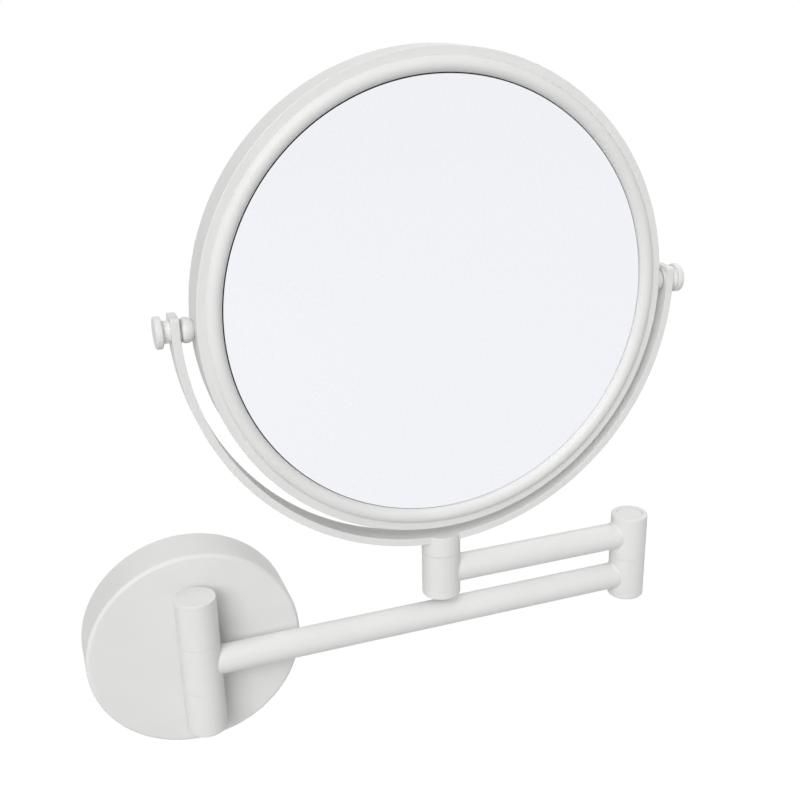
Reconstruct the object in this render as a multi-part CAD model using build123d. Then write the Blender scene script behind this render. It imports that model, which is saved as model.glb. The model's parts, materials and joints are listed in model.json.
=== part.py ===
from build123d import *
import os
from math import asin, cos, degrees, radians, sin, sqrt

# Extendable shaving mirror: a round two-sided mirror that tilts in a fork, on a folding arm
# of two tubes that swings from a short column in front of a round wall rosette.
#
# Millimetres. +X runs along the folded arm, +Y into the wall, +Z up. The origin is the
# centre of the rosette on the wall surface. At rest the arm lies along the wall, folded
# back on itself, and the mirror faces -Y.

# --- driving dimensions ---------------------------------------------------------------

# wall rosette
rosette_radius = 48.0
rosette_depth = 23.0           # from the wall to the rosette's face
rosette_wall = 2.2
rosette_edge_radius = 1.8      # rounding of the front edge
plate_thickness = 2.5          # stamped plate that is screwed to the wall
plate_rim_height = 8.0
plate_rim_wall = 2.0
plate_clearance = 0.3          # between the plate's rim and the rosette
wall_screw_circle = 56.0       # pitch circle diameter of the wall screws
wall_screw_count = 3
wall_screw_hole_radius = 2.75
grub_screw_radius = 2.0
grub_point_radius = 1.3
grub_socket_radius = 1.1
grub_recess = 0.3              # how far the grub screw lies below the rosette's side

# arm
arm_tube_radius = 6.6
arm_tube_wall = 1.5
lower_arm_length = 217.0       # column axis to elbow axis
upper_arm_length = 102.0       # elbow axis to mirror column axis
elbow_stub_length = 5.0        # cast stub on the elbow knuckles, past their barrel
elbow_fillet = 1.2
spigot_depth = 9.0             # how far a knuckle's spigot reaches into its tube

# column, knuckles and pins
knuckle_proud = 2.5            # how much larger than the arm tube a knuckle is, in radius
knuckle_shoulder = 4.7         # height of a knuckle above and below its arm tube
column_gap = 1.9               # between the rosette's face and the column
seam_gap = 0.3                 # visible gap between two knuckles
pin_radius = 3.5
running_clearance = 0.05       # a turning bore is this much larger than its pin
pin_head_height = 3.0
pin_head_clearance = 0.4
thread_depth = 14.0            # how far the pins are screwed into a knuckle
washer_edge = 1.9              # knuckle's rim around a thrust washer
washer_thickness = 0.9
top_bevel = 0.6
elbow_bevel = 0.9
column_foot_radius = 1.4
end_cap_step = 1.3             # from an arm tube's underside down to the cap below it
end_cap_bevel = 1.0
end_cap_spigot_depth = 2.0
inset_cap_edge = 2.8           # knuckle's rim around a small cap sunk in its end
inset_cap_thickness = 1.8
inset_cap_groove = 0.25        # ring groove around a sunk cap
inset_cap_sink = 0.2
pin_head_edge = 0.8            # a pin's head is this much smaller than the cap over it
standoff_radius = 5.0          # posts that carry the column in front of the rosette
standoff_screw_radius = 2.5
standoff_screw_head_radius = 4.2
standoff_screw_head_height = 3.0
standoff_thread = 4.6

# mirror
frame_radius = 105.0
frame_half_depth = 8.8
band_wall = 1.4
flange_thickness = 1.2
flange_width = 3.7
flange_bevel = 0.35
glass_sink = 0.8               # the glass lies this far below the flanges
bead_crease = 0.15             # groove between flange and bead
bead_width = 6.8
bead_rise = 3.2                # crown of the bead above the glass
bead_foot_drop = 0.2           # the bead's outer foot lies this far below the flange
bead_skirt_height = 1.3
glass_overlap = 4.4            # how far the glass reaches under the bead
glass_edge_clearance = 0.3
front_glass_thickness = 3.0
rear_glass_thickness = 2.0
rear_glass_curve_radius = 1000.0   # concave, magnifying
pad_thickness = 1.0
pad_inset = 0.6                # the pads are this much smaller than the glass, in radius
spacer_inset = 4.6             # glass edge to the outside of the spacer ring
spacer_wall = 5.0
pivot_block_width = 14.0
pivot_block_margin = 0.4       # between a pivot block and the pad behind the flat glass
pivot_block_gap = 0.3

# fork
yoke_clearance = 6.0           # between the mirror frame and the fork
yoke_thickness = 3.4
yoke_width = 12.0
yoke_end_rise = 5.3            # straight end of the fork above its half ring
yoke_corner_radius = 1.5
hub_rise = 10.1                # from the arm's end knuckle to the inside of the fork
swivel_head_radius = 5.2
swivel_head_depth = 1.7
pivot_washer_radius = 5.0
pivot_washer_thickness = 0.8
pivot_washer_recess = 0.1

# tilt pivots
tilt_axis_drop = 1.2           # tilt axis below the middle of the mirror
stud_radius = 2.0
stud_depth = 7.0               # into the block inside the mirror frame
stud_in_knob = 4.2
collar_radius = 5.3            # domed collar between fork and mirror frame
collar_tip_radius = 3.0
collar_tip_lip = 0.3           # straight part of the tip, cut to fit the round frame
collar_land = 1.4
knob_radius = 6.6
knob_disc_thickness = 3.0
knob_neck_radius = 4.1
knob_neck_length = 3.0
knob_edge_radius = 0.8

# --- places worked out from them ------------------------------------------------------

knuckle_radius = arm_tube_radius + knuckle_proud
knuckle_height = 2 * (arm_tube_radius + knuckle_shoulder)
end_cap_height = knuckle_shoulder - end_cap_step
half_knuckle = knuckle_height / 2
half_seam = seam_gap / 2
column_top = 1.5 * knuckle_height
column_to_wall = rosette_depth + column_gap + knuckle_radius
column_axis = Vector(0, -column_to_wall, 0)
elbow_axis = column_axis + Vector(lower_arm_length, 0, 0)
mirror_axis = elbow_axis - Vector(upper_arm_length, 0, 0)
upper_arm_height = knuckle_height
turning_bore = pin_radius + running_clearance
washer_radius = knuckle_radius - washer_edge
washer_recess = washer_thickness - seam_gap
inset_cap_radius = knuckle_radius - inset_cap_edge
pin_head_radius = inset_cap_radius - pin_head_edge
rosette_inner_radius = rosette_radius - rosette_wall
plate_radius = rosette_inner_radius - plate_clearance
plate_rim_top = plate_thickness + plate_rim_height
grub_height = plate_thickness + plate_rim_height / 2

band_inner_radius = frame_radius - band_wall
flange_inner_radius = frame_radius - flange_width
bead_outer_radius = flange_inner_radius - bead_crease
bead_inner_radius = bead_outer_radius - bead_width
glass_radius = bead_inner_radius + glass_overlap
pad_radius = glass_radius - pad_inset
spacer_outer_radius = glass_radius - spacer_inset
spacer_inner_radius = spacer_outer_radius - spacer_wall
glass_face = frame_half_depth - glass_sink
skirt_top = frame_half_depth - flange_thickness
skirt_foot = skirt_top - bead_skirt_height
pad_face = glass_face - front_glass_thickness - pad_thickness
pivot_block_height = 2 * (pad_face - pivot_block_margin)

yoke_inner_radius = frame_radius + yoke_clearance
yoke_outer_radius = yoke_inner_radius + yoke_thickness
swivel_pin_top = column_top + hub_rise
mirror_height = swivel_pin_top + yoke_inner_radius     # above the rosette's centre
mirror_centre = mirror_axis + Vector(0, 0, mirror_height)
pivot_centre = mirror_centre - Vector(0, 0, tilt_axis_drop)

LOW = (Align.CENTER, Align.CENTER, Align.MIN)


# --- small builders -------------------------------------------------------------------

def rod(radius, start, end):
    """A round bar between two points."""
    run = Vector(end) - Vector(start)
    return Plane(origin=start, z_dir=run) * Cylinder(radius, run.length, align=LOW)


def upright(radius, axis, low, high):
    """A round bar on a vertical axis, between two heights."""
    return rod(radius, axis + Vector(0, 0, low), axis + Vector(0, 0, high))


def circle_edges(solid, radius, height):
    """The horizontal circular edges of one radius at one height."""
    return [
        edge for edge in solid.edges().filter_by(GeomType.CIRCLE)
        if abs(edge.radius - radius) < 0.01 and abs(edge.center().Z - height) < 0.01
    ]


def washer(axis, low, inner_radius):
    """A thrust washer around a pin."""
    return (
        upright(washer_radius, axis, low, low + washer_thickness)
        - upright(inner_radius, axis, low, low + washer_thickness)
    )


def washer_seat(axis, face_height):
    """The recess in a knuckle's upper face that a thrust washer lies in."""
    return upright(washer_radius, axis, face_height - washer_recess, face_height + seam_gap)


def arm_spigot(axis, side, height):
    """The plug of a knuckle that fills the end of its arm tube."""
    reach = knuckle_radius + elbow_stub_length + spigot_depth
    centre = axis + Vector(0, 0, height)
    plug = rod(arm_tube_radius - arm_tube_wall, centre, centre + Vector(side * reach, 0, 0))
    return plug


def arm_tube(start_x, end_x, height):
    """An arm tube along X between two stations."""
    start = Vector(start_x, -column_to_wall, height)
    end = Vector(end_x, -column_to_wall, height)
    return rod(arm_tube_radius, start, end) - rod(arm_tube_radius - arm_tube_wall, start, end)


def elbow_barrel(axis, side, low, high, height):
    """An elbow knuckle: its barrel, the cast stub towards the arm and the fillet between."""
    barrel = upright(knuckle_radius, axis, low, high)
    centre = axis + Vector(0, 0, height)
    stub_end = centre + Vector(side * (knuckle_radius + elbow_stub_length), 0, 0)
    body = barrel + rod(arm_tube_radius, centre, stub_end)
    saddle = [
        edge for edge in body.edges()
        if edge.geom_type not in (GeomType.CIRCLE, GeomType.LINE)
    ]
    return fillet(saddle, elbow_fillet) + arm_spigot(axis, side, height)


def turned(profile, origin, direction):
    """A solid turned about an axis from a closed outline of (radius, distance) lines."""
    face = make_face(profile)
    placed = Plane(origin=origin, x_dir=(0, 0, 1), z_dir=Vector(0, 0, 1).cross(direction)) * face
    return revolve(placed, Axis(origin, direction), 360)


def polyline(*points):
    """A closed outline of straight lines."""
    return Polyline(*points, close=True).edges()


# --- wall rosette and column (fixed) --------------------------------------------------

def make_wall_plate():
    """Stamped steel cup screwed to the wall, hidden under the rosette."""
    plate = rod(plate_radius, (0, 0, 0), (0, -plate_rim_top, 0))
    plate -= rod(plate_radius - plate_rim_wall, (0, -plate_thickness, 0), (0, -plate_rim_top, 0))
    for index in range(wall_screw_count):
        angle = radians(90 + index * 360 / wall_screw_count)
        x = wall_screw_circle / 2 * cos(angle)
        z = wall_screw_circle / 2 * sin(angle)
        plate -= rod(wall_screw_hole_radius, (x, 0, z), (x, -plate_thickness, z))
    grub_hole_top = Vector(0, -grub_height, -(plate_radius - plate_rim_wall - 1))
    plate -= rod(grub_point_radius + 0.1, grub_hole_top, (0, -grub_height, -plate_radius - 1))
    return plate


def make_rosette_cover():
    """Cast cup over the wall plate, with a rounded front edge."""
    shell = rod(rosette_radius, (0, 0, 0), (0, -rosette_depth, 0))
    front = shell.edges().filter_by(GeomType.CIRCLE).sort_by(Axis.Y)[0]
    shell = fillet([front], rosette_edge_radius)
    hollow = rod(rosette_inner_radius, (0, 0, 0), (0, -(rosette_depth - rosette_wall), 0))
    front = hollow.edges().filter_by(GeomType.CIRCLE).sort_by(Axis.Y)[0]
    shell -= fillet([front], rosette_edge_radius - rosette_wall / 2)
    for side in (-1, 1):
        z = side * knuckle_height
        shell -= rod(standoff_screw_radius, (0, 0, z), (0, -rosette_depth - 1, z))
    shell -= rod(
        grub_screw_radius,
        (0, -grub_height, -rosette_inner_radius + 1),
        (0, -grub_height, -rosette_radius - 1),
    )
    return shell


def make_grub_screw():
    """Grub screw through the rosette's underside, its point in the wall plate's rim."""
    outer = rosette_radius - grub_recess
    shoulder = plate_radius + plate_clearance / 3
    screw = rod(grub_screw_radius, (0, -grub_height, -shoulder), (0, -grub_height, -outer))
    screw += rod(
        grub_point_radius,
        (0, -grub_height, -(plate_radius - plate_rim_wall * 0.75)),
        (0, -grub_height, -shoulder),
    )
    socket_depth = (outer - shoulder) * 0.7
    return screw - rod(
        grub_socket_radius,
        (0, -grub_height, -(outer - socket_depth)),
        (0, -grub_height, -outer),
    )


def make_standoff(side):
    """Short post between the rosette's face and a fixed knuckle."""
    z = side * knuckle_height
    post = rod(standoff_radius, (0, -rosette_depth, z), (0, -column_to_wall, z))
    post -= upright(knuckle_radius, column_axis, -column_top, column_top)
    return post - standoff_shank(side)


def standoff_shank(side):
    """The threaded shank that ties rosette, post and knuckle together."""
    z = side * knuckle_height
    tip = column_to_wall - knuckle_radius + standoff_thread
    return rod(standoff_screw_radius, (0, -(rosette_depth - rosette_wall), z), (0, -tip, z))


def make_standoff_screw(side):
    """Screw from inside the rosette through the post into the knuckle."""
    z = side * knuckle_height
    seat = -(rosette_depth - rosette_wall)
    head = rod(standoff_screw_head_radius, (0, seat + standoff_screw_head_height, z), (0, seat, z))
    return head + standoff_shank(side)


def make_column_top():
    """Fixed upper knuckle of the column, closed at the top."""
    low = half_knuckle + half_seam
    body = upright(knuckle_radius, column_axis, low, column_top)
    body = chamfer(circle_edges(body, knuckle_radius, column_top), top_bevel)
    body -= upright(pin_radius, column_axis, low, low + thread_depth)
    return body - standoff_shank(1)


def make_column_foot():
    """Fixed lower knuckle of the column, with the pin's head sunk in its foot."""
    high = -half_knuckle - half_seam
    body = upright(knuckle_radius, column_axis, -column_top, high)
    body = fillet(circle_edges(body, knuckle_radius, -column_top), column_foot_radius)
    body -= washer_seat(column_axis, high)
    body -= upright(pin_radius, column_axis, -column_top, high)
    body -= upright(
        pin_head_radius, column_axis, -column_top, -column_top + inset_cap_depth() + pin_head_height
    )
    body -= inset_cap_seat(column_axis, -column_top, 1)
    return body - standoff_shank(-1)


def make_column_pin():
    """Hinge pin of the column, pushed up through all three knuckles."""
    head_low = -column_top + inset_cap_depth()
    pin = upright(pin_head_radius, column_axis, head_low, head_low + pin_head_height)
    top = half_knuckle + half_seam + thread_depth
    return pin + upright(pin_radius, column_axis, head_low, top)


def inset_cap_depth():
    """How deep the seat of a sunk cap is."""
    return inset_cap_thickness + inset_cap_sink


def inset_cap_seat(axis, face_height, inward):
    """The seat for a sunk cap; inward is +1 at a lower face and -1 at an upper one."""
    heights = sorted((face_height, face_height + inward * inset_cap_depth()))
    return upright(inset_cap_radius + inset_cap_groove, axis, *heights)


def make_inset_cap(axis, face_height, inward):
    """Small flat cap sunk in a column's end, with a softened outer edge."""
    outer = face_height + inward * inset_cap_sink
    heights = sorted((outer, outer + inward * inset_cap_thickness))
    cap = upright(inset_cap_radius, axis, *heights)
    return chamfer(circle_edges(cap, inset_cap_radius, outer), inset_cap_groove)


# --- lower arm ------------------------------------------------------------------------

def make_lower_arm_knuckle():
    """Middle knuckle of the column, which turns on the pin and carries the lower arm."""
    high = half_knuckle - half_seam
    body = upright(knuckle_radius, column_axis, -high, high)
    body += arm_spigot(column_axis, 1, 0)
    body -= upright(turning_bore, column_axis, -high, high)
    return body - washer_seat(column_axis, high)


def make_lower_arm_tube():
    """Tube of the lower arm, saddled to its knuckle and butted to the elbow's stub."""
    tube = arm_tube(0, lower_arm_length - knuckle_radius - elbow_stub_length, 0)
    return tube - upright(knuckle_radius, column_axis, -half_knuckle, half_knuckle)


def make_elbow_base():
    """Lower elbow knuckle, in which the elbow pin is screwed fast."""
    low = -half_knuckle + end_cap_height
    high = half_knuckle - half_seam
    body = elbow_barrel(elbow_axis, -1, low, high, 0)
    body -= upright(pin_radius, elbow_axis, high - thread_depth, high)
    body -= upright(inset_cap_radius, elbow_axis, low, low + end_cap_spigot_depth)
    return body - washer_seat(elbow_axis, high)


def make_end_cap(axis, low):
    """Full-width cap under a column, with a spigot that plugs into the knuckle."""
    cap = upright(knuckle_radius, axis, low, low + end_cap_height)
    cap = chamfer(circle_edges(cap, knuckle_radius, low), end_cap_bevel)
    return cap + upright(inset_cap_radius, axis, low, low + end_cap_height + end_cap_spigot_depth)


def make_elbow_pin():
    """Shoulder screw of the elbow, its head sunk under the top cap."""
    head_high = column_top - inset_cap_depth() - seam_gap
    pin = upright(pin_head_radius, elbow_axis, head_high - pin_head_height, head_high)
    return pin + upright(pin_radius, elbow_axis, half_knuckle - half_seam - thread_depth, head_high)


# --- upper arm ------------------------------------------------------------------------

def make_elbow_top():
    """Upper elbow knuckle, which turns on the elbow pin and carries the upper arm."""
    low = half_knuckle + half_seam
    body = elbow_barrel(elbow_axis, -1, low, column_top, upper_arm_height)
    body = chamfer(circle_edges(body, knuckle_radius, column_top), elbow_bevel)
    body -= upright(turning_bore, elbow_axis, low, column_top)
    head_low = column_top - inset_cap_depth() - seam_gap - pin_head_height
    body -= upright(pin_head_radius + pin_head_clearance, elbow_axis, head_low, column_top)
    return body - inset_cap_seat(elbow_axis, column_top, -1)


def make_upper_arm_tube():
    """Tube of the upper arm, butted to the elbow's stub and saddled to the mirror knuckle."""
    tube = arm_tube(
        mirror_axis.X, elbow_axis.X - knuckle_radius - elbow_stub_length, upper_arm_height
    )
    return tube - upright(knuckle_radius, mirror_axis, half_knuckle, column_top)


def make_mirror_knuckle():
    """Knuckle at the arm's free end, in which the fork's pin turns."""
    low = half_knuckle + end_cap_height
    high = column_top - half_seam
    body = upright(knuckle_radius, mirror_axis, low, high)
    body += arm_spigot(mirror_axis, 1, upper_arm_height)
    body -= upright(turning_bore, mirror_axis, low, high)
    nut_room = end_cap_spigot_depth + seam_gap + pin_head_height
    body -= upright(pin_head_radius + pin_head_clearance, mirror_axis, low, low + nut_room)
    body -= upright(inset_cap_radius, mirror_axis, low, low + end_cap_spigot_depth)
    return body - washer_seat(mirror_axis, high)


# --- fork -----------------------------------------------------------------------------

def make_swivel_pin():
    """Countersunk pin through the fork and its hub, turning in the arm's end knuckle."""
    low = half_knuckle + end_cap_height + end_cap_spigot_depth + seam_gap
    pin = upright(pin_radius, mirror_axis, low, swivel_pin_top)
    return pin + swivel_head()


def swivel_head():
    """The pin's conical head, flush inside the fork."""
    cone = Cone(pin_radius, swivel_head_radius, swivel_head_depth, align=LOW)
    return Pos(*(mirror_axis + Vector(0, 0, swivel_pin_top - swivel_head_depth))) * cone


def make_swivel_nut():
    """Lock nut on the lower end of the swivel pin."""
    low = half_knuckle + end_cap_height + end_cap_spigot_depth + seam_gap
    flats = RegularPolygon(pin_head_radius, 6)
    nut = extrude(Pos(*(mirror_axis + Vector(0, 0, low))) * flats, pin_head_height)
    return nut - upright(pin_radius, mirror_axis, low, low + pin_head_height)


def yoke_blank():
    """The fork's bent flat bar: a half ring with short straight ends, before its holes."""
    plane = Plane(origin=mirror_centre, x_dir=(1, 0, 0), z_dir=(0, -1, 0))
    rise = yoke_end_rise
    outer, inner = yoke_outer_radius, yoke_inner_radius
    outline = [
        Line((-outer, rise), (-outer, 0)),
        ThreePointArc((-outer, 0), (0, -outer), (outer, 0)),
        Line((outer, 0), (outer, rise)),
        Line((outer, rise), (inner, rise)),
        Line((inner, rise), (inner, 0)),
        ThreePointArc((inner, 0), (0, -inner), (-inner, 0)),
        Line((-inner, 0), (-inner, rise)),
        Line((-inner, rise), (-outer, rise)),
    ]
    bar = extrude(plane * make_face(outline), yoke_width / 2, both=True)
    top = mirror_centre.Z + rise
    corners = [
        edge for edge in bar.edges().filter_by(Axis.X) if abs(edge.center().Z - top) < 0.01
    ]
    return fillet(corners, yoke_corner_radius)


def make_yoke():
    """The fork with its two pivot holes and the countersunk hole for the swivel pin."""
    bar = yoke_blank()
    for side in (-1, 1):
        inner = pivot_centre + Vector(side * (yoke_inner_radius - 1), 0, 0)
        seat = pivot_centre + Vector(side * (yoke_inner_radius + pivot_washer_recess), 0, 0)
        outer = pivot_centre + Vector(side * (yoke_outer_radius + 1), 0, 0)
        bar -= rod(pivot_washer_radius + 0.3, inner, seat)
        bar -= rod(stud_radius + running_clearance, inner, outer)
    bar -= swivel_head()
    return bar - upright(pin_radius, mirror_axis, column_top, swivel_pin_top)


def make_yoke_hub():
    """Turned hub under the fork, slotted for the bar."""
    low = column_top + half_seam
    body = upright(knuckle_radius, mirror_axis, low, swivel_pin_top + knuckle_radius)
    bore = rod(
        yoke_inner_radius,
        mirror_centre - Vector(0, 2 * knuckle_radius, 0),
        mirror_centre + Vector(0, 2 * knuckle_radius, 0),
    )
    body -= bore
    body -= yoke_blank()
    return body - upright(pin_radius, mirror_axis, low, swivel_pin_top)


def make_pivot_washer(side):
    """Nylon washer between the fork and the collar."""
    seat = yoke_inner_radius + pivot_washer_recess
    face = seat - pivot_washer_thickness
    start = pivot_centre + Vector(side * face, 0, 0)
    end = pivot_centre + Vector(side * seat, 0, 0)
    return rod(pivot_washer_radius, start, end) - rod(stud_radius + 0.1, start, end)


# --- tilt pivots, which turn with the mirror ------------------------------------------

def side_turned(profile, side):
    """A pivot part turned about the tilt axis; distances run outwards from the centre."""
    return turned(profile, pivot_centre, Vector(side, 0, 0))


def make_pivot_stud(side):
    """Stud from the block in the frame out into the knob."""
    start = pivot_centre + Vector(side * (band_inner_radius - stud_depth), 0, 0)
    end = pivot_centre + Vector(side * (yoke_outer_radius + stud_in_knob), 0, 0)
    return rod(stud_radius, start, end)


def make_collar(side):
    """Collar with a flat face on the fork's washer and a dome towards the frame."""
    face = yoke_inner_radius + pivot_washer_recess - pivot_washer_thickness
    land = face - collar_land
    tip = frame_radius + collar_tip_lip
    foot = frame_radius - collar_tip_lip
    edge = collar_land / 3
    profile = [
        Line((stud_radius, face), (collar_radius - edge, face)),
        Line((collar_radius - edge, face), (collar_radius, face - edge)),
        Line((collar_radius, face - edge), (collar_radius, land)),
        TangentArc((collar_radius, land), (collar_tip_radius, tip), tangent=(0, -1)),
        Line((collar_tip_radius, tip), (collar_tip_radius, foot)),
        Line((collar_tip_radius, foot), (stud_radius, foot)),
        Line((stud_radius, foot), (stud_radius, face)),
    ]
    collar = side_turned(profile, side)
    return collar - rod(
        frame_radius,
        mirror_centre - Vector(0, frame_half_depth, 0),
        mirror_centre + Vector(0, frame_half_depth, 0),
    )


def make_knob(side):
    """Clamping knob: a rounded disc on a waisted neck."""
    base = yoke_outer_radius
    disc_low = base + knob_neck_length
    top = disc_low + knob_disc_thickness
    edge = knob_edge_radius
    waist = knob_neck_radius - 0.1
    profile = [
        Line((0, base), (knob_neck_radius, base)),
        ThreePointArc(
            (knob_neck_radius, base),
            (waist, base + knob_neck_length * 0.55),
            (knob_radius - edge - 0.4, disc_low),
        ),
        Line((knob_radius - edge - 0.4, disc_low), (knob_radius - edge, disc_low)),
        ThreePointArc(
            (knob_radius - edge, disc_low),
            (knob_radius - edge * (1 - sqrt(0.5)), disc_low + edge * (1 - sqrt(0.5))),
            (knob_radius, disc_low + edge),
        ),
        Line((knob_radius, disc_low + edge), (knob_radius, top - edge)),
        ThreePointArc(
            (knob_radius, top - edge),
            (knob_radius - edge * (1 - sqrt(0.5)), top - edge * (1 - sqrt(0.5))),
            (knob_radius - edge, top),
        ),
        Line((knob_radius - edge, top), (0, top)),
        Line((0, top), (0, base)),
    ]
    return side_turned(profile, side) - make_pivot_stud(side)


# --- mirror ---------------------------------------------------------------------------

def mirror_turned(profile, facing):
    """A mirror part turned about the mirror's own axis; facing is -1 for the front."""
    return turned(profile, mirror_centre, Vector(0, facing, 0))


def make_frame_band():
    """Outer band of the mirror frame: a channel ring with a narrow flange on each side."""
    depth, inner = frame_half_depth, band_inner_radius
    bevel = flange_bevel
    section = polyline(
        (frame_radius, -depth + bevel), (frame_radius, depth - bevel),
        (frame_radius - bevel, depth), (flange_inner_radius + bevel, depth),
        (flange_inner_radius, depth - bevel), (flange_inner_radius, skirt_top),
        (inner, skirt_top), (inner, -skirt_top),
        (flange_inner_radius, -skirt_top), (flange_inner_radius, -depth + bevel),
        (flange_inner_radius + bevel, -depth), (frame_radius - bevel, -depth),
    )
    band = mirror_turned(section, -1)
    for side in (-1, 1):
        start = pivot_centre + Vector(side * (band_inner_radius - 2), 0, 0)
        end = pivot_centre + Vector(side * (frame_radius + 2), 0, 0)
        band -= rod(stud_radius, start, end)
    return band


def make_bead_ring(facing):
    """Half-round bead that frames the glass, with a skirt trapped under the flange."""
    foot = frame_half_depth - bead_foot_drop
    middle = (bead_inner_radius + bead_outer_radius) / 2
    skirt_high, skirt_low = skirt_top, skirt_foot
    glass_bore = glass_radius + glass_edge_clearance
    profile = [
        ThreePointArc(
            (bead_inner_radius, glass_face), (middle, glass_face + bead_rise), (bead_outer_radius, foot)
        ),
        Line((bead_outer_radius, foot), (bead_outer_radius, skirt_high)),
        Line((bead_outer_radius, skirt_high), (band_inner_radius, skirt_high)),
        Line((band_inner_radius, skirt_high), (band_inner_radius, skirt_low)),
        Line((band_inner_radius, skirt_low), (glass_bore, skirt_low)),
        Line((glass_bore, skirt_low), (glass_bore, glass_face)),
        Line((glass_bore, glass_face), (bead_inner_radius, glass_face)),
    ]
    return mirror_turned(profile, facing)


def rear_face(radius):
    """Distance of the concave rear glass from the mirror's mid-plane at a radius."""
    drop = rear_glass_curve_radius - sqrt(rear_glass_curve_radius ** 2 - radius ** 2)
    edge_drop = rear_glass_curve_radius - sqrt(rear_glass_curve_radius ** 2 - glass_radius ** 2)
    return glass_face - edge_drop + drop


def make_front_glass():
    """Flat mirror glass on the front."""
    outer = mirror_centre - Vector(0, glass_face, 0)
    inner = mirror_centre - Vector(0, glass_face - front_glass_thickness, 0)
    return rod(glass_radius, outer, inner)


def make_rear_glass():
    """Concave magnifying mirror glass on the back."""
    half = glass_radius / 2
    edge = rear_face(glass_radius)
    thick = rear_glass_thickness
    profile = [
        ThreePointArc((0, rear_face(0)), (half, rear_face(half)), (glass_radius, edge)),
        Line((glass_radius, edge), (glass_radius, edge - thick)),
        ThreePointArc(
            (glass_radius, edge - thick),
            (half, rear_face(half) - thick),
            (0, rear_face(0) - thick),
        ),
        Line((0, rear_face(0) - thick), (0, rear_face(0))),
    ]
    return mirror_turned(profile, 1)


def make_front_pad():
    """Foam pad behind the flat glass."""
    outer = mirror_centre - Vector(0, glass_face - front_glass_thickness, 0)
    inner = outer + Vector(0, pad_thickness, 0)
    return rod(pad_radius, outer, inner)


def make_spacer_ring():
    """Plastic ring that holds the two glasses apart."""
    front = -pad_face
    rear = rear_face(spacer_inner_radius) - rear_glass_thickness - pad_thickness
    section = polyline(
        (spacer_inner_radius, front), (spacer_outer_radius, front),
        (spacer_outer_radius, rear), (spacer_inner_radius, rear),
    )
    return mirror_turned(section, 1)


def make_rear_pad():
    """Foam ring between the spacer and the concave glass."""
    inner, outer, thick = spacer_inner_radius, spacer_outer_radius, rear_glass_thickness
    middle = (inner + outer) / 2
    low = rear_face(inner) - thick - pad_thickness
    profile = [
        Line((inner, rear_face(inner) - thick), (inner, low)),
        Line((inner, low), (outer, low)),
        Line((outer, low), (outer, rear_face(outer) - thick)),
        ThreePointArc(
            (outer, rear_face(outer) - thick),
            (middle, rear_face(middle) - thick),
            (inner, rear_face(inner) - thick),
        ),
    ]
    return mirror_turned(profile, 1)


def make_pivot_block(side):
    """Threaded block welded inside the band, which anchors a stud."""
    low = spacer_outer_radius + pivot_block_gap
    length = band_inner_radius + band_wall - low
    block = Box(length, pivot_block_height, pivot_block_width)
    block = Pos(*(pivot_centre + Vector(side * (low + length / 2), 0, 0))) * block
    inside = rod(
        band_inner_radius,
        mirror_centre - Vector(0, pivot_block_height, 0),
        mirror_centre + Vector(0, pivot_block_height, 0),
    )
    return (block & inside) - make_pivot_stud(side)


# --- the parts ------------------------------------------------------------------------

foot_of_elbow = -half_knuckle
foot_of_mirror_column = half_knuckle

parts = {
    # fixed to the wall
    "wall_plate": make_wall_plate(),
    "rosette_cover": make_rosette_cover(),
    "rosette_grub_screw": make_grub_screw(),
    "column_post_upper": make_standoff(1),
    "column_post_lower": make_standoff(-1),
    "column_post_screw_upper": make_standoff_screw(1),
    "column_post_screw_lower": make_standoff_screw(-1),
    "column_knuckle_upper": make_column_top(),
    "column_knuckle_lower": make_column_foot(),
    "column_pin": make_column_pin(),
    "column_foot_cap": make_inset_cap(column_axis, -column_top, 1),
    "column_washer_lower": washer(
        column_axis, -half_knuckle - half_seam - washer_recess, pin_radius
    ),
    # swings on the column
    "lower_arm_knuckle": make_lower_arm_knuckle(),
    "lower_arm_tube": make_lower_arm_tube(),
    "column_washer_upper": washer(
        column_axis, half_knuckle - half_seam - washer_recess, turning_bore
    ),
    "elbow_knuckle_lower": make_elbow_base(),
    "elbow_pin": make_elbow_pin(),
    "elbow_foot_cap": make_end_cap(elbow_axis, foot_of_elbow),
    "elbow_washer": washer(elbow_axis, half_knuckle - half_seam - washer_recess, pin_radius),
    # swings on the elbow
    "elbow_knuckle_upper": make_elbow_top(),
    "elbow_top_cap": make_inset_cap(elbow_axis, column_top, -1),
    "upper_arm_tube": make_upper_arm_tube(),
    "mirror_knuckle": make_mirror_knuckle(),
    "mirror_knuckle_foot_cap": make_end_cap(mirror_axis, foot_of_mirror_column),
    "mirror_knuckle_washer": washer(
        mirror_axis, column_top - half_seam - washer_recess, turning_bore
    ),
    # turns on the mirror knuckle
    "yoke_hub": make_yoke_hub(),
    "yoke": make_yoke(),
    "swivel_pin": make_swivel_pin(),
    "swivel_nut": make_swivel_nut(),
    "pivot_washer_left": make_pivot_washer(-1),
    "pivot_washer_right": make_pivot_washer(1),
    # tilts in the fork
    "pivot_stud_left": make_pivot_stud(-1),
    "pivot_stud_right": make_pivot_stud(1),
    "pivot_collar_left": make_collar(-1),
    "pivot_collar_right": make_collar(1),
    "pivot_knob_left": make_knob(-1),
    "pivot_knob_right": make_knob(1),
    "pivot_block_left": make_pivot_block(-1),
    "pivot_block_right": make_pivot_block(1),
    "frame_band": make_frame_band(),
    "bead_ring_front": make_bead_ring(-1),
    "bead_ring_rear": make_bead_ring(1),
    "mirror_glass_front": make_front_glass(),
    "mirror_glass_rear": make_rear_glass(),
    "glass_pad_front": make_front_pad(),
    "glass_pad_rear": make_rear_pad(),
    "glass_spacer_ring": make_spacer_ring(),
}

os.makedirs("parts", exist_ok=True)
for name, shape in parts.items():
    export_step(shape, f"parts/{name}.step")
print(len(parts), "parts written")
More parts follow.
